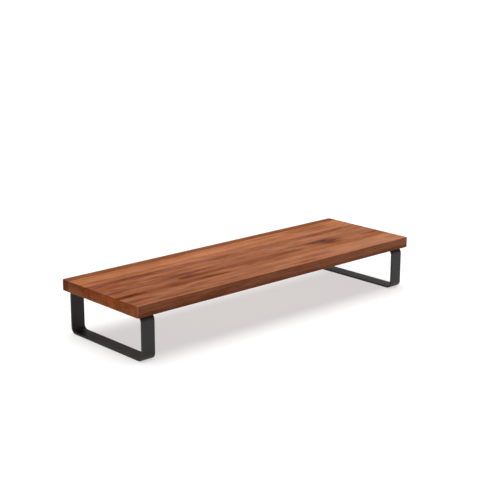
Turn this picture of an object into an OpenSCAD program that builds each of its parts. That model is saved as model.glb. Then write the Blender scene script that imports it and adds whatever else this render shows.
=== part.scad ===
// Monitor riser stand: an edge-glued hardwood shelf on two bent flat-bar legs.
// Origin at the centre of the footprint, on the floor. +X along the shelf, +Y to its back, +Z up.

/* [Shelf board] */
// Length of the shelf, left to right
board_length = 1000; // [500:10:1400]
// Depth of the shelf, front to back
board_depth = 320; // [265:1:450]
// Thickness of the shelf
board_thickness = 30; // [22:1:45]
// Height of the shelf's top above the floor
shelf_height = 150; // [100:1:260]
// Radius sanded on the long edges and the end edges
arris_radius = 2; // [0.5:0.5:4]
// Radius of the four corners, seen from above
corner_radius = 5; // [4.5:0.5:20]

/* [Staves] */
// Width of the narrow stave along the back edge
rear_edge_stave = 28; // [10:1:42]
// Width of the light stave beside it; the middle stave takes what is left of the depth
rear_stave = 76; // [50:1:90]
// Width of the knotted stave
knotted_stave = 77; // [40:1:90]
// Width of the stave along the front edge
front_stave = 73; // [50:1:90]

/* [Legs] */
// Width of the flat bar
bar_width = 40; // [25:1:60]
// Thickness of the flat bar
bar_thickness = 5; // [3:0.5:8]
// Inside radius of the bends
bend_radius = 12.5; // [4:0.5:16]
// Gap between the end of the shelf and the leg
leg_end_inset = 18; // [0:1:120]
// Gap between the front or back edge of the shelf and the upright's outer face
leg_face_inset = 8; // [0:1:40]
// Length of each top flange, from the upright's outer face
flange_length = 70; // [66:1:100]

/* [Fasteners] */
// Thread diameter of the bolts
bolt_diameter = 6; // [4:0.5:8]
// Length of the bolts under the head
bolt_length = 20; // [12:1:25]
// From a flange's free end to the nearer bolt
bolt_end_distance = 14; // [8:1:18]
// Between the two bolts of a flange
bolt_spacing = 28; // [14:1:32]
// Diameter of the button head
head_diameter = 10.5; // [9:0.5:13]
// Height of the button head
head_height = 3.3; // [2.5:0.1:5]
// Diameter of the flat on top of the button head
head_flat_diameter = 6; // [5:0.5:8]
// Size across flats of the hexagon socket
socket_size = 4; // [2:0.5:4.5]
// Depth of the hexagon socket
socket_depth = 2; // [1:0.1:2.4]
// Outside diameter of the washers
washer_diameter = 12; // [10:0.5:14]
// Thickness of the washers
washer_thickness = 1.6; // [0.8:0.1:2.5]
// How much wider than the bolt the flange's hole is
hole_clearance = 0.6; // [0.2:0.1:1.5]
// How much wider than the bolt the washer's hole is
washer_clearance = 0.4; // [0.2:0.1:1]
// Outside diameter of the threaded inserts
insert_diameter = 10; // [9.5:0.5:14]
// Length of the threaded inserts
insert_length = 15; // [8:1:17]
// How much wider than the bolt the insert's bore is, over the thread that isn't cut
thread_clearance = 0.1; // [0.1:0.1:0.4]
// Space left in the shelf's blind holes beyond the insert and the bolt
hole_relief = 2; // [0.5:0.5:4]

/* [Pads] */
// Thickness of the anti-slip pads
pad_thickness = 0.5; // [0.5:0.5:4]
// Length of a pad along the bar
pad_length = 40; // [15:1:80]
// Margin between a pad and the bar's long edges
pad_margin = 5; // [1:0.5:8]
// Gap between a pad and the start of the bend
pad_end_gap = 10; // [0:1:40]
// Corner radius of the pads
pad_corner = 3; // [0.5:0.5:4]

/* [Hidden] */

$fn = 72;
// How far a cutting shape runs past the face it cuts
cut = 1;

// Signs of the two sides and the two faces
left = -1;
right = 1;
front = -1;
rear = 1;

// Glue lines between the staves, from the back edge of the shelf to its front edge
rear_edge_line = board_depth / 2 - rear_edge_stave;
rear_line = rear_edge_line - rear_stave;
front_line = front_stave - board_depth / 2;
middle_line = front_line + knotted_stave;

// The leg is one bar bent four times, open between its two top flanges
underside = shelf_height - board_thickness;
leg_height = underside - pad_thickness;
leg_depth = board_depth - 2 * leg_face_inset;
leg_centre_x = board_length / 2 - leg_end_inset - bar_width / 2;
leg_centre_z = pad_thickness + leg_height / 2;
outer_bend = bend_radius + bar_thickness;

// Bolts sit in line along each flange
first_bolt_y = leg_depth / 2 - flange_length + bolt_end_distance;
bolt_rows = [first_bolt_y, first_bolt_y + bolt_spacing];
head_seat = -bar_thickness - washer_thickness;
bolt_reach = bolt_length - bar_thickness - washer_thickness;
insert_hole_depth = max(insert_length, bolt_reach) + hole_relief;

// The button head is a spherical dome cut by its base and by its flat top
base_radius = head_diameter / 2;
flat_radius = head_flat_diameter / 2;
dome_centre = (flat_radius^2 + head_height^2 - base_radius^2) / (2 * head_height);
dome_radius = norm([base_radius, dome_centre]);

pad_width = bar_width - 2 * pad_margin;
pad_y = leg_depth / 2 - outer_bend - pad_end_gap - pad_length / 2;

// Flat rectangle with round corners, centred
module rounded_rect(size, r) {
    square([size.x - 2 * r, size.y], center = true);
    square([size.x, size.y - 2 * r], center = true);
    for (x = [-1, 1], y = [-1, 1])
        translate([x * (size.x / 2 - r), y * (size.y / 2 - r)])
            circle(r);
}

// Half of the shelf's section at a corner, to be turned about the corner's centre
module corner_section() {
    square([corner_radius - arris_radius, board_thickness]);
    translate([0, arris_radius])
        square([corner_radius, board_thickness - 2 * arris_radius]);
    for (z = [arris_radius, board_thickness - arris_radius])
        translate([corner_radius - arris_radius, z])
            circle(arris_radius);
}

// The whole shelf, all edges rounded, before it is divided into staves
module shelf_blank() {
    translate([0, 0, board_thickness / 2]) {
        rotate([90, 0, 90])
            linear_extrude(board_length - 2 * corner_radius, center = true)
                rounded_rect([board_depth, board_thickness], arris_radius);
        rotate([90, 0, 0])
            linear_extrude(board_depth - 2 * corner_radius, center = true)
                rounded_rect([board_length, board_thickness], arris_radius);
    }
    for (x = [-1, 1], y = [-1, 1])
        translate([x * (board_length / 2 - corner_radius), y * (board_depth / 2 - corner_radius), 0])
            rotate_extrude()
                corner_section();
}

// Places its children at the two bolts of one flange, on the shelf's underside
module at_bolts(side, face) {
    for (y = bolt_rows)
        translate([side * leg_centre_x, face * y, underside])
            children();
}

// Blind holes for the threaded inserts
module insert_holes() {
    for (side = [left, right], face = [front, rear])
        at_bolts(side, face)
            translate([0, 0, -cut])
                cylinder(d = insert_diameter, h = insert_hole_depth + cut);
}

// One stave of the shelf, between two glue lines
module stave(from_y, to_y) {
    difference() {
        translate([0, 0, underside])
            intersection() {
                shelf_blank();
                translate([-board_length / 2 - cut, from_y, -cut])
                    cube([board_length + 2 * cut, to_y - from_y, board_thickness + 2 * cut]);
            }
        insert_holes();
    }
}

module stave_rear_edge() {
    color("#90583b") stave(rear_edge_line, board_depth / 2 + cut);
}

module stave_rear() {
    color("#b16f4c") stave(rear_line, rear_edge_line);
}

module stave_middle() {
    color("#955a3d") stave(middle_line, rear_line);
}

module stave_knotted() {
    color("#8e543a") stave(front_line, middle_line);
}

module stave_front() {
    color("#ad7350") stave(-board_depth / 2 - cut, front_line);
}

// Side view of a leg: a closed bent loop with the space between its flanges cut out
module bar_profile() {
    difference() {
        rounded_rect([leg_depth, leg_height], outer_bend);
        rounded_rect([leg_depth - 2 * bar_thickness, leg_height - 2 * bar_thickness], bend_radius);
        translate([0, leg_height / 2])
            square([leg_depth - 2 * flange_length, 2 * (bar_thickness + cut)], center = true);
    }
}

module leg(side) {
    color("#33312f")
        difference() {
            translate([side * leg_centre_x, 0, leg_centre_z])
                rotate([90, 0, 90])
                    linear_extrude(bar_width, center = true)
                        bar_profile();
            for (face = [front, rear])
                at_bolts(side, face)
                    translate([0, 0, -bar_thickness - cut])
                        cylinder(d = bolt_diameter + hole_clearance, h = bar_thickness + 2 * cut);
        }
}

module leg_left() {
    leg(left);
}

module leg_right() {
    leg(right);
}

// Threaded bushes pressed up into the shelf, flush with its underside
module inserts(side, face) {
    color("#b8964e")
        at_bolts(side, face)
            difference() {
                cylinder(d = insert_diameter, h = insert_length);
                translate([0, 0, -cut])
                    cylinder(d = bolt_diameter + thread_clearance, h = insert_length + 2 * cut);
            }
}

// Plain washers under the bolt heads
module washers(side, face) {
    color("#3b3b3c")
        at_bolts(side, face)
            translate([0, 0, head_seat])
                difference() {
                    cylinder(d = washer_diameter, h = washer_thickness);
                    translate([0, 0, -cut])
                        cylinder(d = bolt_diameter + washer_clearance, h = washer_thickness + 2 * cut);
                }
}

// Domed head with a hexagon socket, standing on its seat
module button_head() {
    difference() {
        intersection() {
            cylinder(d = head_diameter + cut, h = head_height);
            translate([0, 0, dome_centre])
                sphere(dome_radius);
        }
        translate([0, 0, head_height - socket_depth])
            cylinder(d = socket_size / cos(30), h = socket_depth + cut, $fn = 6);
    }
}

module bolts(side, face) {
    color("#2c2c2d")
        at_bolts(side, face)
            translate([0, 0, head_seat]) {
                cylinder(d = bolt_diameter, h = bolt_length);
                mirror([0, 0, 1])
                    button_head();
            }
}

// Thin anti-slip pad stuck under the bar, near its bend
module pad(side, face) {
    color("#26262a")
        translate([side * leg_centre_x, face * pad_y, 0])
            linear_extrude(pad_thickness)
                rounded_rect([pad_width, pad_length], pad_corner);
}

stave_rear_edge();
stave_rear();
stave_middle();
stave_knotted();
stave_front();
leg_left();
leg_right();
inserts(left, front);  // inserts_front_left
inserts(right, front);  // inserts_front_right
inserts(left, rear);  // inserts_rear_left
inserts(right, rear);  // inserts_rear_right
washers(left, front);  // washers_front_left
washers(right, front);  // washers_front_right
washers(left, rear);  // washers_rear_left
washers(right, rear);  // washers_rear_right
bolts(left, front);  // bolts_front_left
bolts(right, front);  // bolts_front_right
bolts(left, rear);  // bolts_rear_left
bolts(right, rear);  // bolts_rear_right
pad(left, front);  // pad_front_left
pad(right, front);  // pad_front_right
pad(left, rear);  // pad_rear_left
pad(right, rear);  // pad_rear_right
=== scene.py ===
import math

import bpy
from mathutils import Matrix, Vector


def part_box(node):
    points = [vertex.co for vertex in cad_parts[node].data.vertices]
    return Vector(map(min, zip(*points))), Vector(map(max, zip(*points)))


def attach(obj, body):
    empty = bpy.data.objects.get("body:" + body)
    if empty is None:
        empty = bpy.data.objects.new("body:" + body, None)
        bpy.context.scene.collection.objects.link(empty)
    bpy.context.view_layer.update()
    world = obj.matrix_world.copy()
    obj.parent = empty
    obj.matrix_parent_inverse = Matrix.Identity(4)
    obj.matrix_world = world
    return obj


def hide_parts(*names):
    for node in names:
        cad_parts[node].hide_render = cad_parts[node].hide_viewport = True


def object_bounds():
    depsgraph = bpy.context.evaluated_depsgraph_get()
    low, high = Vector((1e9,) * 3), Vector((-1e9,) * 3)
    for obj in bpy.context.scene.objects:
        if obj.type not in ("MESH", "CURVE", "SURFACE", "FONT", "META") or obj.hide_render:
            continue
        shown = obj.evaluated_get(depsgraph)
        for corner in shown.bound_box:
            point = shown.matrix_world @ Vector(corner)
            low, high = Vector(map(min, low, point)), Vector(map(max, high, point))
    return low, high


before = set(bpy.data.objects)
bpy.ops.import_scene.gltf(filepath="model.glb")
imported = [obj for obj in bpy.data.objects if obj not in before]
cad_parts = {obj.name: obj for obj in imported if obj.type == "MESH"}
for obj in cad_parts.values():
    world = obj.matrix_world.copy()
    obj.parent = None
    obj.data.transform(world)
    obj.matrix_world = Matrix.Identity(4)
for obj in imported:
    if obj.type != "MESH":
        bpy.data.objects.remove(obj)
cad_low, cad_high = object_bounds()


# ---------------------------------------------------------------------------------------------
# The shelf. Five full-length hardwood staves ripped from different boards, glued edge to edge,
# planed flush, drilled from below for the threaded inserts, sanded round at every outer edge and
# oiled, so that each stave keeps its own colour, rings, streaks and knots.

shelf_half_length = (cad_high.x - cad_low.x) / 2
shelf_half_depth = (cad_high.y - cad_low.y) / 2
shelf_top = cad_high.z
shelf_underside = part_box("stave_front")[0].z
arris_radius = 0.002
arris_steps = 7
shelf_corner_radius = 0.005
corner_steps = 8
glue_ease = 0.00012
insert_radius = 0.005
insert_hole_depth = 0.017
leg_centre_x = (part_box("leg_right")[0].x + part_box("leg_right")[1].x) / 2
bolt_rows = (0.096, 0.124)
tiny = 1e-5


class Wire:
    """One output of a node. Python's arithmetic on it adds the Math node that does the same."""

    def __init__(self, graph, socket):
        self.graph, self.socket = graph, socket

    def out(self, name):
        return Wire(self.graph, self.socket.node.outputs[name])

    def maths(self, operation, *values):
        return self.graph.node("ShaderNodeMath", {"operation": operation}, values)

    def __add__(self, other):
        return self.maths("ADD", self, other)

    def __radd__(self, other):
        return self.maths("ADD", other, self)

    def __sub__(self, other):
        return self.maths("SUBTRACT", self, other)

    def __rsub__(self, other):
        return self.maths("SUBTRACT", other, self)

    def __mul__(self, other):
        return self.maths("MULTIPLY", self, other)

    def __rmul__(self, other):
        return self.maths("MULTIPLY", other, self)

    def __truediv__(self, other):
        return self.maths("DIVIDE", self, other)

    def __rtruediv__(self, other):
        return self.maths("DIVIDE", other, self)

    def __pow__(self, other):
        return self.maths("POWER", self, other)

    def __rpow__(self, other):
        return self.maths("POWER", other, self)

    def __abs__(self):
        return self.maths("ABSOLUTE", self)


class Graph:
    """A node tree, of a material or of geometry, and the one method that adds any node to it."""

    def __init__(self, tree):
        self.tree = tree

    def node(self, kind, settings=None, values=()):
        """Adds a node with its settings, and fills its sockets in order, or by name from a dict."""
        made = self.tree.nodes.new(kind)
        for setting, value in (settings or {}).items():
            setattr(made, setting, value)
        sockets = [s for s in made.inputs if s.enabled]
        pairs = values.items() if isinstance(values, dict) else enumerate(values)
        for key, value in pairs:
            socket = sockets[key] if isinstance(key, int) else next(s for s in sockets if s.name == key)
            if isinstance(value, Wire):
                self.tree.links.new(value.socket, socket)
            else:
                socket.default_value = value
        found = [s for s in made.outputs if s.enabled]
        return Wire(self, found[0] if found else None)

    def noise(self, place, stretch, detail=2.0, roughness=0.5):
        """Noise from 0 to 1 with about as many features in a metre of each axis as stretch says."""
        stretched = self.node("ShaderNodeVectorMath", {"operation": "MULTIPLY"}, (place, stretch))
        sizes = {"Vector": stretched, "Scale": 1.0, "Detail": detail, "Roughness": roughness}
        return self.node("ShaderNodeTexNoise", {}, sizes)

    def ease(self, value, low, high):
        """A smooth step from 0 at low to 1 at high. It runs the other way where low is above high."""
        start, end, at_start = (low, high, 0.0) if low < high else (high, low, 1.0)
        ends = {"Value": value, "From Min": start, "From Max": end,
                "To Min": at_start, "To Max": 1.0 - at_start}
        return self.node("ShaderNodeMapRange", {"interpolation_type": "SMOOTHSTEP"}, ends)

    def mix(self, factor, a, b):
        """Colour a turned into colour b by factor."""
        return self.node("ShaderNodeMix", {"data_type": "RGBA", "clamp_factor": True},
                         {"Factor": factor, "A": a, "B": b})

    def finish(self, **sockets):
        """The Principled shader, with _ for the spaces in its sockets' names, and the output."""
        named = {name.replace("_", " "): value for name, value in sockets.items()}
        shader = self.node("ShaderNodeBsdfPrincipled", {}, named)
        self.node("ShaderNodeOutputMaterial", {}, {"Surface": shader})


def new_material(name):
    material = bpy.data.materials.new(name)
    material.use_nodes = True
    material.node_tree.nodes.clear()
    return material, Graph(material.node_tree)


def colour(code):
    """A colour as paint lists write it, #rrggbb, turned into the four linear numbers a node takes."""
    parts = [int(code[i:i + 2], 16) / 255 for i in (1, 3, 5)]
    return (*[p / 12.92 if p <= 0.04045 else ((p + 0.055) / 1.055) ** 2.4 for p in parts], 1.0)


def spot(g, x, y, centre, reach):
    """A soft-edged mark on the board: 1 at its centre, fading over its reach along and across."""
    along = (x - centre[0]) / reach[0]
    across = (y - centre[1]) / reach[1]
    distance = along * along + across * across
    return g.node("ShaderNodeMath", {"operation": "EXPONENT"}, (distance * -1.0,))


streak_heart = colour("#331406")
knot_heart = colour("#240d04")
pore_shadow = colour("#35190f")
glue_line = colour("#4a2415")
summer_end_grain = colour("#37160a")
# Colour that darkens the rounded top edges.
dark_top_edge_colour = colour("#4a2010")
# Pale colour of the painted highlight along the upright corners.
painted_highlight_colour = colour("#c98d63")
glue_reach = 0.0009
edge_reach = 0.0035
edge_rim = 0.0006
end_grain_depth = 0.0009
end_grain_skin = 0.0001
end_grain_height_reach = 0.004
face_shade_top = 0.013
face_shade_foot = 0.003


def oiled_wood(name, light, dark, end, pith, ring_gap, fade, streaks, knots, edges):
    """Wood of one board. The tree's centre runs along pith, (y, z), and its rings are ring_gap apart.
    fade is how much darker the left end is. A streak is (x, y, length, width, depth), and one of
    negative depth is pale. A knot is (x, y, size). edges are where the stave's two sides lie."""
    material, g = new_material(name)
    place = g.node("ShaderNodeTexCoord").out("Object")
    x = g.node("ShaderNodeSeparateXYZ", {}, (place,))
    y = x.out("Y")
    z = x.out("Z")

    # The grain wanders a few millimetres along the board and flows round each knot.
    wander = g.noise(place, (2.4, 7.0, 7.0)) - 0.5
    ripple = g.noise(place, (16.0, 70.0, 70.0)) - 0.5
    bent_y = y + wander * 0.030 + ripple * 0.0030
    knot_dark = None
    knot_reach = None
    for knot_x, knot_y, size in knots:
        reach = spot(g, x, y, (knot_x, knot_y), (size * 3.6, size * 1.7))
        heart = spot(g, x + ripple * 0.016, y + ripple * 0.008, (knot_x, knot_y), (size, size * 0.55))
        bent_y = bent_y - (y - knot_y) * reach * 0.85
        knot_reach = reach if knot_reach is None else knot_reach + reach
        knot_dark = heart if knot_dark is None else knot_dark + heart

    # Growth rings round the pith: a pale spring band that darkens into a thin summer line.
    ring_y = (bent_y - pith[0]) / ring_gap
    ring_z = (z + wander * 0.012 - pith[1]) / ring_gap
    ring = (ring_y * ring_y + ring_z * ring_z) ** 0.5
    phase = g.node("ShaderNodeMath", {"operation": "FRACT"}, (ring,))
    number = g.node("ShaderNodeMath", {"operation": "FLOOR"}, (ring,))
    uneven = g.node("ShaderNodeTexWhiteNoise", {"noise_dimensions": "1D"}, {"W": number})
    summer = g.ease(phase, 0.25, 0.92) * g.ease(phase, 1.0, 0.94)

    # Bands of fibres catch the oil differently, and the pores are short dark dashes.
    along = g.node("ShaderNodeCombineXYZ", {}, (x, bent_y, z))
    cloud = g.noise(place, (6.0, 24.0, 24.0), 3.0, 0.6)
    band = g.noise(along, (12.0, 110.0, 110.0), 3.0, 0.62)
    strand = g.noise(along, (30.0, 420.0, 420.0), 2.0, 0.6)
    fibre = g.noise(along, (45.0, 1300.0, 1300.0), 2.0, 0.6)
    pores = g.ease(g.noise(along, (85.0, 1500.0, 1500.0), 1.0), 0.62, 0.72)

    tone = (cloud - 0.5) * 1.1 + (band - 0.5) * 0.9 + (strand - 0.5) * 0.55 + (fibre - 0.5) * 0.3
    at_face = g.ease(abs(y), shelf_half_depth - edge_reach, shelf_half_depth - edge_rim)
    # Painted shade: the lower part of the front and back faces is painted darker.
    painted_shade_low_face = at_face * g.ease(z, shelf_underside + face_shade_top, shelf_underside + face_shade_foot)
    # Painted light: fade darkens the board towards its left end, standing in for a sheen that grows towards
    # the right end.
    painted_shade_left_end = g.ease(x, shelf_half_length, -shelf_half_length)
    tone = tone + painted_shade_low_face * 0.38 + summer * (0.10 + uneven * 0.26) + painted_shade_left_end * fade + 0.32
    for streak_x, streak_y, length, width, depth in streaks:
        mark = spot(g, x + wander * 0.05, y + ripple * 0.012, (streak_x, streak_y), (length, width))
        tone = tone + mark * (0.35 + band * 1.3) * depth
    if knots:
        tone = tone + knot_reach * (0.25 + band * 0.7)
    wood = g.mix(tone, colour(light), colour(dark))
    wood = g.mix(g.ease(tone, 1.0, 1.9), wood, streak_heart)
    if knots:
        wood = g.mix(g.ease(knot_dark, 0.2, 0.95) * 0.85, wood, knot_heart)
    wood = g.mix(pores * 0.38, wood, pore_shadow)

    # A hair of glue shows between staves. End grain drinks more oil, and its rings show as arcs.
    glue = g.ease(y, edges[0] + glue_reach, edges[0]) + g.ease(y, edges[1] - glue_reach, edges[1])
    wood = g.mix(glue * 0.35, wood, glue_line)
    end_grain = g.ease(abs(x), shelf_half_length - end_grain_depth, shelf_half_length - end_grain_skin)
    # The end grain's colour is laid on more strongly towards the top of the end.
    end_grain_by_height = 0.76 - g.ease(z, shelf_top - end_grain_height_reach, shelf_underside + end_grain_height_reach) * 0.34
    mottle = summer * 0.45 + (band - 0.5) * 0.9 + pores * 0.25 + (cloud - 0.5) * 0.5
    cut_rings = g.mix(mottle, colour(end), summer_end_grain)
    wood = g.mix(end_grain * end_grain_by_height, wood, cut_rings)

    # The rounded top edges are made darker. The upright corners get a painted highlight, pale colour laid
    # along them.
    at_top = g.ease(z, shelf_top - edge_reach, shelf_top - edge_rim)
    at_end = g.ease(abs(x), shelf_half_length - edge_reach, shelf_half_length - edge_rim)
    wood = g.mix((at_face + at_end) * at_top * 0.4, wood, dark_top_edge_colour)
    # Painted highlight on the upright corners, which are also made a little less rough.
    painted_corner_highlight = at_face * at_end * (0.2 + cloud * 0.5)
    wood = g.mix(painted_corner_highlight * 0.6, wood, painted_highlight_colour)

    rough = 0.44 + fibre * 0.10 + pores * 0.22 + end_grain * 0.14 - painted_corner_highlight * 0.06
    height = fibre * 0.35 + strand * 0.35 + band * 0.3 - pores * 0.7 - summer * 0.15
    grain = g.node("ShaderNodeBump", {}, {"Strength": 0.6, "Distance": 0.00025, "Height": height})
    g.finish(Base_Color=wood, Roughness=rough, Normal=grain, IOR=1.46, Specular_IOR_Level=0.03)
    return material


def mesh_object(name, points, faces=(), edges=()):
    mesh = bpy.data.meshes.new(name)
    mesh.from_pydata(points, edges, faces)
    piece = bpy.data.objects.new(name, mesh)
    bpy.context.scene.collection.objects.link(piece)
    return piece


def skin(outlines, ring=False):
    """Points and faces that join outlines of equal length. The two ends are closed with a face each,
    or joined to each other where the shape is a ring."""
    count = len(outlines[0])
    points = [p for outline in outlines for p in outline]
    faces = []
    for level in range(len(outlines) - (0 if ring else 1)):
        above = (level + 1) % len(outlines) * count
        for i in range(count):
            nearby = (i + 1) % count
            faces.append((level * count + i, level * count + nearby, above + nearby, above + i))
    if not ring:
        faces.append(tuple(range(count - 1, -1, -1)))
        faces.append(tuple(range(len(points) - count, len(points))))
    return points, faces


beside_round = 0.4


def slab(low, high, round_faces, corner, arris, steps, ease=0.0):
    """Outlines of a slab with round edges, lowest first. round_faces holds the sides in y, -1 for the
    front and 1 for the back, that are outer ones. The others are flat, and eased by a hair at the top.
    One more outline lies beside each round edge and corner, so that the flats are shaded flat."""
    turn = [math.pi / 2 * i / steps for i in range(steps + 1)]
    below = [(low.z + arris - arris * math.cos(a), arris - arris * math.sin(a)) for a in turn]
    beyond = arris * (1 + beside_round)
    rim = [(low.z, beyond)] + below + [(low.z + beyond, 0.0)]
    levels = rim + [(high.z + low.z - z, inset) for z, inset in reversed(rim)]
    outlines = []
    for z, inset in levels:
        outline = []
        for side_x, side_y, start in ((1, 1, 0), (-1, 1, 90), (-1, -1, 180), (1, -1, 270)):
            edge_x = high.x if side_x > 0 else low.x
            edge_y = high.y if side_y > 0 else low.y
            if side_y not in round_faces:
                gap = ease if inset >= arris - tiny else 0.0
                outline.append((edge_x - side_x * inset, edge_y - side_y * gap, z))
                continue
            centre_x, centre_y = edge_x - side_x * corner, edge_y - side_y * corner
            for i in range(-1, corner_steps + 2):
                a = math.radians(start + 90 * min(max(i, 0), corner_steps) / corner_steps)
                past = 0.0
                if i < 0:
                    past = -arris * beside_round
                if i > corner_steps:
                    past = arris * beside_round
                outline.append((centre_x + (corner - inset) * math.cos(a) - past * math.sin(a),
                                centre_y + (corner - inset) * math.sin(a) + past * math.cos(a), z))
        outlines.append(outline)
    return outlines


def new_tree(name, **inputs):
    """A geometry tree with one named input for each word, and a wire from each of them."""
    tree = bpy.data.node_groups.new(name, "GeometryNodeTree")
    tree.interface.new_socket("Geometry", in_out="OUTPUT", socket_type="NodeSocketGeometry")
    for word, kind in inputs.items():
        tree.interface.new_socket(word, in_out="INPUT", socket_type="NodeSocket" + kind)
    graph = Graph(tree)
    entry = tree.nodes.new("NodeGroupInput")
    return graph, {word: Wire(graph, entry.outputs[word]) for word in inputs}


steep_angle = 34


def end_tree(g, shape, material, crease=(0.0, 0.0)):
    """Smooth faces with hard edges where they meet steeply, or at an angle within crease, which is
    where a flat meets a rounded edge. Then the shape is made real and its material is set."""
    smooth = g.node("GeometryNodeSetShadeSmooth", {"domain": "FACE"},
                    {"Geometry": shape, "Shade Smooth": True})
    angle = g.node("GeometryNodeInputMeshEdgeAngle")
    above = {"data_type": "FLOAT", "operation": "GREATER_THAN"}
    steep = g.node("FunctionNodeCompare", above, {"A": angle, "B": math.radians(steep_angle)})
    past_low = g.node("FunctionNodeCompare", above, {"A": angle, "B": math.radians(crease[0])})
    past_high = g.node("FunctionNodeCompare", above, {"A": angle, "B": math.radians(crease[1])})
    border = g.node("FunctionNodeBooleanMath", {"operation": "NIMPLY"}, (past_low, past_high))
    hard = g.node("FunctionNodeBooleanMath", {"operation": "OR"}, (steep, border))
    edged = g.node("GeometryNodeSetShadeSmooth", {"domain": "EDGE"},
                   {"Geometry": smooth, "Selection": hard, "Shade Smooth": False})
    real = g.node("GeometryNodeRealizeInstances", {}, {"Geometry": edged})
    painted = g.node("GeometryNodeSetMaterial", {}, {"Geometry": real, "Material": material})
    g.node("NodeGroupOutput", {}, {"Geometry": painted})


hole_sides = 48


def drilled(g, blank, holes, radius, depth):
    """The blank with a hole through each vertex of the object holes, half its depth to each side."""
    places = g.node("GeometryNodeObjectInfo", {}, {"Object": holes}).out("Geometry")
    drill = g.node("GeometryNodeMeshCylinder", {"fill_type": "NGON"},
                   {"Vertices": hole_sides, "Radius": radius, "Depth": depth})
    drills = g.node("GeometryNodeInstanceOnPoints", {}, {"Points": places, "Instance": drill})
    cutter = g.node("GeometryNodeRealizeInstances", {}, {"Geometry": drills})
    return g.node("GeometryNodeMeshBoolean", {"operation": "DIFFERENCE", "solver": "EXACT"},
                  {"Mesh 1": blank, "Mesh 2": cutter})


def made_by(g, name, start, **sizes):
    """Runs a tree on the object start, and keeps the result as a piece with a plain mesh."""
    modifier = start.modifiers.new("make", "NODES")
    modifier.node_group = g.tree
    for socket in g.tree.interface.items_tree:
        if socket.in_out == "INPUT" and socket.name in sizes:
            modifier[socket.identifier] = sizes[socket.name]
    ready = bpy.context.evaluated_depsgraph_get()
    mesh = bpy.data.meshes.new_from_object(start.evaluated_get(ready), depsgraph=ready)
    mesh.name = name
    start.modifiers.remove(modifier)
    bpy.data.objects.remove(start)
    piece = bpy.data.objects.new(name, mesh)
    bpy.context.scene.collection.objects.link(piece)
    return piece


stave_tree, stave_in = new_tree(
    "drilled_stave", blank="Geometry", holes="Object", hole_radius="Float", hole_depth="Float",
    material="Material")
end_tree(stave_tree, drilled(stave_tree, stave_in["blank"], stave_in["holes"], stave_in["hole_radius"],
                             stave_in["hole_depth"]), stave_in["material"])

# Each stave's material slot and wood. Its streaks and knots are placed from the middle of the shelf.
staves = {
    "stave_rear_edge": ("hardwood_dark", dict(
        light="#864f2a", dark="#4e1d08", end="#5d260d", pith=(0.150, 0.085), ring_gap=0.0034, fade=-0.05,
        streaks=((-0.33, 0.150, 0.12, 0.007, 0.25),),
        knots=())),
    "stave_rear": ("hardwood_light", dict(
        light="#b0724b", dark="#763c20", end="#672c0c", pith=(0.098, 0.070), ring_gap=0.0052, fade=0.12,
        streaks=((-0.26, 0.085, 0.05, 0.020, 0.2),
                 (0.36, 0.100, 0.10, 0.022, 0.35)),
        knots=())),
    "stave_middle": ("hardwood_dark", dict(
        light="#ac7451", dark="#6c3013", end="#843d14", pith=(0.062, 0.095), ring_gap=0.0040, fade=0.27,
        streaks=((-0.356, 0.050, 0.08, 0.010, 0.38),
                 (-0.43, 0.042, 0.10, 0.016, 0.18),
                 (-0.10, 0.042, 0.30, 0.016, 0.12),
                 (0.30, 0.046, 0.20, 0.012, 0.4),
                 (0.36, 0.023, 0.20, 0.050, 0.1)),
        knots=())),
    "stave_knotted": ("hardwood_dark", dict(
        light="#a16542", dark="#5f2910", end="#9b4b19", pith=(-0.045, 0.080), ring_gap=0.0044, fade=0.17,
        streaks=((-0.235, -0.018, 0.06, 0.006, 0.6),
                 (-0.47, -0.077, 0.05, 0.008, 0.7),
                 (-0.32, -0.072, 0.06, 0.007, 0.12),
                 (-0.47, -0.030, 0.05, 0.012, 0.4),
                 (-0.19, -0.077, 0.05, 0.006, 0.5),
                 (0.24, -0.016, 0.09, 0.007, 0.45),
                 (0.30, -0.048, 0.035, 0.016, 0.5)),
        knots=((0.281, -0.022, 0.013),))),
    "stave_front": ("hardwood_light", dict(
        light="#a86f4f", dark="#713b21", end="#884317", pith=(-0.120, 0.060), ring_gap=0.0050, fade=0.30,
        streaks=((0.09, -0.140, 0.08, 0.012, 0.2),
                 (-0.20, -0.105, 0.07, 0.020, -0.35),
                 (-0.30, -0.140, 0.14, 0.012, 0.25),
                 (0.02, -0.120, 0.14, 0.035, -0.12)),
        knots=())),
}
for node, (slot, wood) in staves.items():
    low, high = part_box(node)
    outer = [side for side, y in ((-1, low.y), (1, high.y)) if abs(y - side * shelf_half_depth) < tiny]
    blank = mesh_object(node + "_blank", *skin(
        slab(low, high, outer, shelf_corner_radius, arris_radius, arris_steps, glue_ease)))
    rows = [side * row for side in (-1, 1) for row in bolt_rows if low.y < side * row < high.y]
    hole_places = [(end * leg_centre_x, row, shelf_underside) for end in (-1, 1) for row in rows]
    holes = mesh_object(node + "_holes", hole_places)
    finish = oiled_wood("oiled_" + node, edges=(low.y, high.y), **wood)
    board = made_by(stave_tree, "shelf_" + node, blank, holes=holes, hole_radius=insert_radius,
                    hole_depth=2 * insert_hole_depth, material=finish)
    bpy.data.objects.remove(holes)
    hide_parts(node)
    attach(board, "root")


# ---------------------------------------------------------------------------------------------
# The inserts. Brass bushes threaded inside for the bolts and barbed outside, pressed into blind
# holes in the shelf until they are flush with its underside.

insert_length = 0.015
insert_lead = 0.0003
insert_collar = 0.0015
insert_nose = 0.0005
thread_radius = 0.00305
thread_depth = 0.0003
thread_pitch = 0.001
levels_in_pitch = 4
barb_depth = 0.0006
barb_step_in = 0.0001
barb_count = 5
turned_sides = 48


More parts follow.
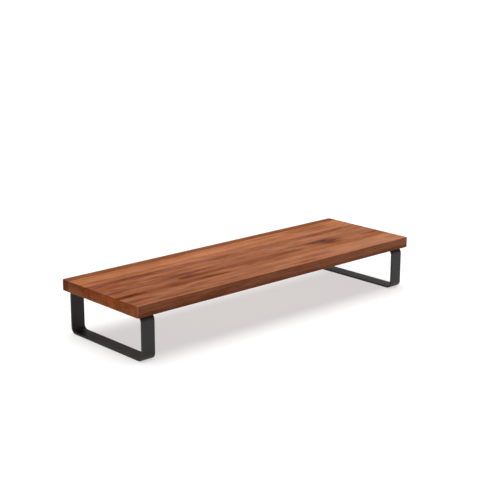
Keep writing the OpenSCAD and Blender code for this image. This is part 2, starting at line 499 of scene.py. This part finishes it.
def circle(radius, z, flats=0):
    """A turned outline, or a hexagon when flats is 6, whose radius is then to the middle of a flat."""
    outline = []
    for i in range(turned_sides):
        a = math.tau * i / turned_sides
        reach = radius
        if flats:
            half = math.pi / flats
            reach = radius / math.cos((a + half) % (2 * half) - half)
        outline.append((reach * math.cos(a), reach * math.sin(a), z))
    return outline


def thread(from_z, to_z, crest, root):
    """Outlines of a screw thread that runs from crest to root and back once in each pitch."""
    levels = max(2, round(abs(to_z - from_z) / thread_pitch * levels_in_pitch))
    outlines = []
    for level in range(levels + 1):
        z = from_z + (to_z - from_z) * level / levels
        outline = []
        for i in range(turned_sides):
            part = (z / thread_pitch - i / turned_sides) % 1.0
            fade = min(1.0, abs(z - from_z) / thread_pitch, abs(to_z - z) / thread_pitch)
            radius = crest + (root - crest) * min(1.0, 2 * min(part, 1 - part)) * fade
            a = math.tau * i / turned_sides
            outline.append((radius * math.cos(a), radius * math.sin(a), z))
        outlines.append(outline)
    return outlines


def metal(name, base, worn, roughness, scratch_scale):
    """Metal with a thin uneven finish: cloudy colour, fine turning marks and a satin gloss."""
    material, g = new_material(name)
    place = g.node("ShaderNodeTexCoord").out("Object")
    cloud = g.noise(place, (160.0, 160.0, 160.0), 3.0, 0.6)
    scratch = g.noise(place, (scratch_scale, scratch_scale, scratch_scale * 6), 2.0, 0.6)
    wear = g.ease(cloud * 0.7 + scratch * 0.3, 0.52, 0.70)
    skin_colour = g.mix(wear * 0.6, colour(base), colour(worn))
    rough = roughness + (scratch - 0.5) * 0.16 + cloud * 0.08
    height = scratch + cloud * 0.5
    marks = g.node("ShaderNodeBump", {}, {"Strength": 0.35, "Distance": 0.00005, "Height": height})
    g.finish(Base_Color=skin_colour, Metallic=1.0, Roughness=rough, Normal=marks)
    return material


fixing_tree, fixing_in = new_tree("fixings_at_bolts", places="Geometry", blank="Object", material="Material")
blank_mesh = fixing_tree.node("GeometryNodeObjectInfo", {}, {"Object": fixing_in["blank"]}).out("Geometry")
set_out = fixing_tree.node("GeometryNodeInstanceOnPoints", {},
                           {"Points": fixing_in["places"], "Instance": blank_mesh})
real_fixings = fixing_tree.node("GeometryNodeRealizeInstances", {}, {"Geometry": set_out})
end_tree(fixing_tree, real_fixings, fixing_in["material"])


def fit_at_bolts(kind, outlines, ring, seat, material):
    """Puts one turned part at the two bolts of each flange, and makes each flange's pair one piece."""
    for face, side_y in (("front", -1), ("rear", 1)):
        for side, side_x in (("left", -1), ("right", 1)):
            node = kind + "_" + face + "_" + side
            blank = mesh_object(node + "_blank", *skin(outlines, ring))
            bolt_places = [(side_x * leg_centre_x, side_y * row, seat) for row in bolt_rows]
            places = mesh_object(node + "_places", bolt_places)
            pair = made_by(fixing_tree, "pair_" + node, places, blank=blank, material=material)
            bpy.data.objects.remove(blank)
            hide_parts(node)
            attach(pair, "root")


barb_step = (insert_length - 2 * insert_collar) / barb_count
insert_outer = [circle(insert_radius - insert_lead, 0.0),
                circle(insert_radius, insert_lead),
                circle(insert_radius, insert_collar)]
for barb in range(barb_count):
    foot = insert_collar + barb * barb_step
    insert_outer.append(circle(insert_radius - barb_depth, foot + barb_step_in))
    insert_outer.append(circle(insert_radius, foot + barb_step))
insert_outer.append(circle(insert_radius, insert_length - insert_nose))
insert_outer.append(circle(insert_radius - insert_nose, insert_length))
insert_bore = [circle(thread_radius + insert_nose, insert_length)]
insert_bore += thread(insert_length - insert_nose, insert_nose, thread_radius, thread_radius + thread_depth)
insert_bore.append(circle(thread_radius + insert_nose, 0.0))
brass = metal("turned_brass", "#b8934b", "#8d6a32", 0.28, 900.0)
fit_at_bolts("inserts", insert_outer + insert_bore, True, shelf_underside, brass)


# ---------------------------------------------------------------------------------------------
# The legs. Each is one flat steel bar bent cold four times into a loop that is open at the top,
# so that its two ends make flanges under the shelf. Drilled, deburred and black powder-coated.

bar_thickness = 0.005
bend_radius = 0.0125
bend_steps = 18
bar_edge_radius = 0.0005
bar_edge_steps = 3
edge_crease = (8, 16)
flange_length = 0.070
flange_hole_radius = 0.0033


def powder_coat(name):
    """Black satin powder coat: a fine orange peel, a soft sheen, and thinner colour on the edges."""
    material, g = new_material(name)
    place = g.node("ShaderNodeTexCoord").out("Object")
    z = g.node("ShaderNodeSeparateXYZ", {}, (place,)).out("Z")
    peel = g.noise(place, (620.0, 620.0, 620.0), 2.0, 0.5)
    grit = g.noise(place, (2600.0, 2600.0, 2600.0), 2.0, 0.6)
    cloud = g.noise(place, (22.0, 22.0, 22.0), 3.0, 0.55)
    scuff = g.ease(g.noise(place, (60.0, 60.0, 240.0), 4.0, 0.65), 0.58, 0.75)
    facing = g.node("ShaderNodeNewGeometry").out("Normal")
    sideways = abs(g.node("ShaderNodeSeparateXYZ", {}, (facing,)))
    edge = g.ease(sideways, 0.2, 0.5) * g.ease(sideways, 0.98, 0.85)
    near_floor = g.ease(z, 0.018, 0.004)
    black = g.mix(cloud, colour("#1d1c1b"), colour("#252322"))
    black = g.mix(edge * (0.12 + cloud * 0.3), black, colour("#4b4743"))
    black = g.mix(scuff * near_floor * 0.35, black, colour("#55504b"))
    rough = 0.40 + (cloud - 0.5) * 0.12 + grit * 0.10 + scuff * near_floor * 0.15 - edge * 0.05
    height = peel * 0.75 + grit * 0.25
    texture = g.node("ShaderNodeBump", {}, {"Strength": 0.5, "Distance": 0.00006, "Height": height})
    g.finish(Base_Color=black, Roughness=rough, Normal=texture, IOR=1.5, Specular_IOR_Level=0.3)
    return material


bar_tree, bar_in = new_tree(
    "bent_bar", path="Geometry", holes="Object", bar_width="Float", bar_thickness="Float",
    bend_radius="Float", edge_radius="Float", hole_radius="Float", material="Material")
straight_path = bar_tree.node("GeometryNodeMeshToCurve", {}, {"Mesh": bar_in["path"]})
bent_path = bar_tree.node("GeometryNodeFilletCurve", {"mode": "POLY"},
                          {"Curve": straight_path, "Radius": bar_in["bend_radius"], "Count": bend_steps})
section = bar_tree.node("GeometryNodeCurvePrimitiveQuadrilateral", {},
                        {"Width": bar_in["bar_width"], "Height": bar_in["bar_thickness"]})
round_section = bar_tree.node("GeometryNodeFilletCurve", {"mode": "POLY"},
                              {"Curve": section, "Radius": bar_in["edge_radius"], "Count": bar_edge_steps})
bar = bar_tree.node("GeometryNodeCurveToMesh", {},
                    {"Curve": bent_path, "Profile Curve": round_section, "Fill Caps": True})
bar_drilled = drilled(bar_tree, bar, bar_in["holes"], bar_in["hole_radius"], bar_in["bar_thickness"] * 2.0)
end_tree(bar_tree, bar_drilled, bar_in["material"], crease=edge_crease)

bar_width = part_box("leg_right")[1].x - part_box("leg_right")[0].x
coat = powder_coat("black_powder_coat")
for node in ("leg_left", "leg_right"):
    low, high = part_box(node)
    middle_x = (low.x + high.x) / 2
    half_bar = bar_thickness / 2
    front_y, rear_y = low.y + half_bar, high.y - half_bar
    bottom_z, flange_z = low.z + half_bar, high.z - half_bar
    loop = [(middle_x, low.y + flange_length, flange_z), (middle_x, front_y, flange_z),
            (middle_x, front_y, bottom_z), (middle_x, rear_y, bottom_z),
            (middle_x, rear_y, flange_z), (middle_x, high.y - flange_length, flange_z)]
    path = mesh_object(node + "_path", loop, edges=[(i, i + 1) for i in range(len(loop) - 1)])
    hole_places = [(middle_x, side * row, flange_z) for side in (-1, 1) for row in bolt_rows]
    holes = mesh_object(node + "_holes", hole_places)
    leg = made_by(bar_tree, "bent_" + node, path, holes=holes, bar_width=bar_width,
                  bar_thickness=bar_thickness, bend_radius=bend_radius + half_bar,
                  edge_radius=bar_edge_radius, hole_radius=flange_hole_radius, material=coat)
    bpy.data.objects.remove(holes)
    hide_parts(node)
    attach(leg, "root")


# ---------------------------------------------------------------------------------------------
# The washers and bolts. Plain stamped washers, and button-head bolts with a hexagon socket and a
# rolled thread, driven up through the flanges. Both are blackened steel.

washer_radius = 0.006
washer_hole_radius = 0.0032
washer_thickness = 0.0016
washer_ease = 0.0002
bolt_radius = 0.003
bolt_length = 0.020
head_radius = 0.00525
head_height = 0.0033
head_flat_radius = 0.003
socket_half_size = 0.002
socket_depth = 0.002
socket_lead = 0.0002
socket_ease = 0.00015
bolt_point = 0.0008
bolt_point_ease = 0.0007
dome_steps = 9

black_oxide = metal("black_oxide_steel", "#232325", "#45423f", 0.38, 1400.0)
washer_seat = shelf_underside - bar_thickness - washer_thickness
washer_ring = [
    circle(washer_hole_radius + washer_ease, 0.0),
    circle(washer_radius - washer_ease, 0.0),
    circle(washer_radius, washer_ease),
    circle(washer_radius, washer_thickness - washer_ease),
    circle(washer_radius - washer_ease, washer_thickness),
    circle(washer_hole_radius + washer_ease, washer_thickness),
    circle(washer_hole_radius, washer_thickness - washer_ease),
    circle(washer_hole_radius, washer_ease)]
fit_at_bolts("washers", washer_ring, True, washer_seat, black_oxide)

# The dome is part of a sphere that passes through the rim of its base and the rim of its flat.
dome_centre = (head_flat_radius ** 2 + head_height ** 2 - head_radius ** 2) / (2 * head_height)
dome_radius = math.hypot(head_radius, dome_centre)
bolt_outlines = [circle(socket_half_size, socket_depth - head_height, 6),
                 circle(socket_half_size, socket_lead - head_height, 6),
                 circle(socket_half_size + socket_ease, -head_height, 6)]
for step in range(dome_steps + 1):
    height = head_height * (1 - step / dome_steps)
    bolt_outlines.append(circle(math.sqrt(dome_radius ** 2 - (height - dome_centre) ** 2), -height))
bolt_outlines.append(circle(bolt_radius, 0.0))
bolt_outlines += thread(0.0, bolt_length - bolt_point, bolt_radius, bolt_radius - thread_depth)
bolt_outlines.append(circle(bolt_radius - bolt_point_ease, bolt_length))
fit_at_bolts("bolts", bolt_outlines, False, washer_seat, black_oxide)


# ---------------------------------------------------------------------------------------------
# The pads. Die-cut sheets of anti-slip rubber with a fine texture and a little dust in it, stuck
# under each bottom bar near its bends.

pad_corner = 0.003
pad_arris = 0.0003
pad_arris_steps = 3


def pad_rubber(name):
    """Matt rubber with a fine grain and a little pale dust in patches."""
    material, g = new_material(name)
    place = g.node("ShaderNodeTexCoord").out("Object")
    grain = g.noise(place, (1100.0, 1100.0, 1100.0), 3.0, 0.6)
    dust = g.ease(g.noise(place, (90.0, 90.0, 90.0), 3.0, 0.6), 0.45, 0.75)
    rubber = g.mix(grain, colour("#1d1d1e"), colour("#2b2a2a"))
    rubber = g.mix(dust * 0.3, rubber, colour("#4a4744"))
    rough = 0.72 + grain * 0.15 + dust * 0.08
    bump = g.node("ShaderNodeBump", {}, {"Strength": 0.6, "Distance": 0.0001, "Height": grain})
    g.finish(Base_Color=rubber, Roughness=rough, Normal=bump, IOR=1.5)
    return material


rubber_finish = pad_rubber("anti_slip_rubber")
for face in ("front", "rear"):
    for side in ("left", "right"):
        node = "pad_" + face + "_" + side
        low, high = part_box(node)
        sheet = slab(low, high, (-1, 1), pad_corner, pad_arris, pad_arris_steps)
        pad = mesh_object("rubber_" + node, *skin(sheet))
        pad.data.materials.append(rubber_finish)
        pad.data.shade_smooth()
        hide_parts(node)
        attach(pad, "root")


# ---------------------------------------------------------------------------------------------
# The studio. A wide matt floor that gives off some light of its own, so that it stays white, and is
# see-through from below, one broad soft light overhead, a pale band round the room that the black
# legs mirror, and the camera.

floor_half_size = 60.0
floor_glow = 0.58
floor = mesh_object("studio_floor", [(x * floor_half_size, y * floor_half_size, 0.0) for x, y in
                                     ((-1, -1), (1, -1), (1, 1), (-1, 1))], [(0, 1, 2, 3)])
floor_material, g = new_material("studio_floor")
floor_shader = g.node("ShaderNodeBsdfPrincipled", {},
                      {"Base Color": colour("#a8a8a8"), "Roughness": 0.9, "Specular IOR Level": 0.0,
                       "Emission Color": colour("#ffffff"), "Emission Strength": floor_glow})
see_through = g.node("ShaderNodeBsdfTransparent")
below = g.node("ShaderNodeNewGeometry").out("Backfacing")
floor_surface = g.node("ShaderNodeMixShader", {}, (below, floor_shader, see_through))
g.node("ShaderNodeOutputMaterial", {}, {"Surface": floor_surface})
floor.data.materials.append(floor_material)

overhead = bpy.data.lights.new("overhead", "SUN")
overhead.energy = 4.3
overhead.angle = math.radians(60)
overhead_light = bpy.data.objects.new("overhead", overhead)
overhead_light.rotation_euler = (math.radians(-6), math.radians(4), 0.0)
bpy.context.scene.collection.objects.link(overhead_light)

room = bpy.data.worlds.new("studio_room")
room.use_nodes = True
room.node_tree.nodes.clear()
g = Graph(room.node_tree)
height = g.node("ShaderNodeSeparateXYZ", {}, (g.node("ShaderNodeTexCoord").out("Generated"),)).out("Z")
pale_band = g.ease(height, 0.42, 0.22)
horizon = g.ease(height, 0.09, 0.05)
backdrop = pale_band * 0.7 + horizon * 0.25 + 0.05
room_light = g.node("ShaderNodeBackground", {}, {"Color": colour("#ffffff"), "Strength": backdrop})
g.node("ShaderNodeOutputWorld", {}, {"Surface": room_light})
bpy.context.scene.world = room
bpy.context.scene.view_settings.view_transform = "Standard"

camera_place = (-2.1747, -2.3704, 1.0456)
turn, tilt, roll = math.radians(42.738), math.radians(15.239), math.radians(0.195)
ahead = Vector((math.sin(turn) * math.cos(tilt), math.cos(turn) * math.cos(tilt), -math.sin(tilt)))
level = Vector((math.cos(turn), -math.sin(turn), 0.0))
upright = level.cross(ahead)
right = level * math.cos(roll) + upright * math.sin(roll)
up = upright * math.cos(roll) - level * math.sin(roll)
lens = bpy.data.cameras.new("camera")
lens.sensor_width = 36.0
lens.lens = 86.82
camera = bpy.data.objects.new("camera", lens)
camera.matrix_world = (Matrix.Translation(camera_place)
                       @ Matrix((right, up, -ahead)).transposed().to_4x4())
bpy.context.scene.collection.objects.link(camera)
bpy.context.scene.camera = camera
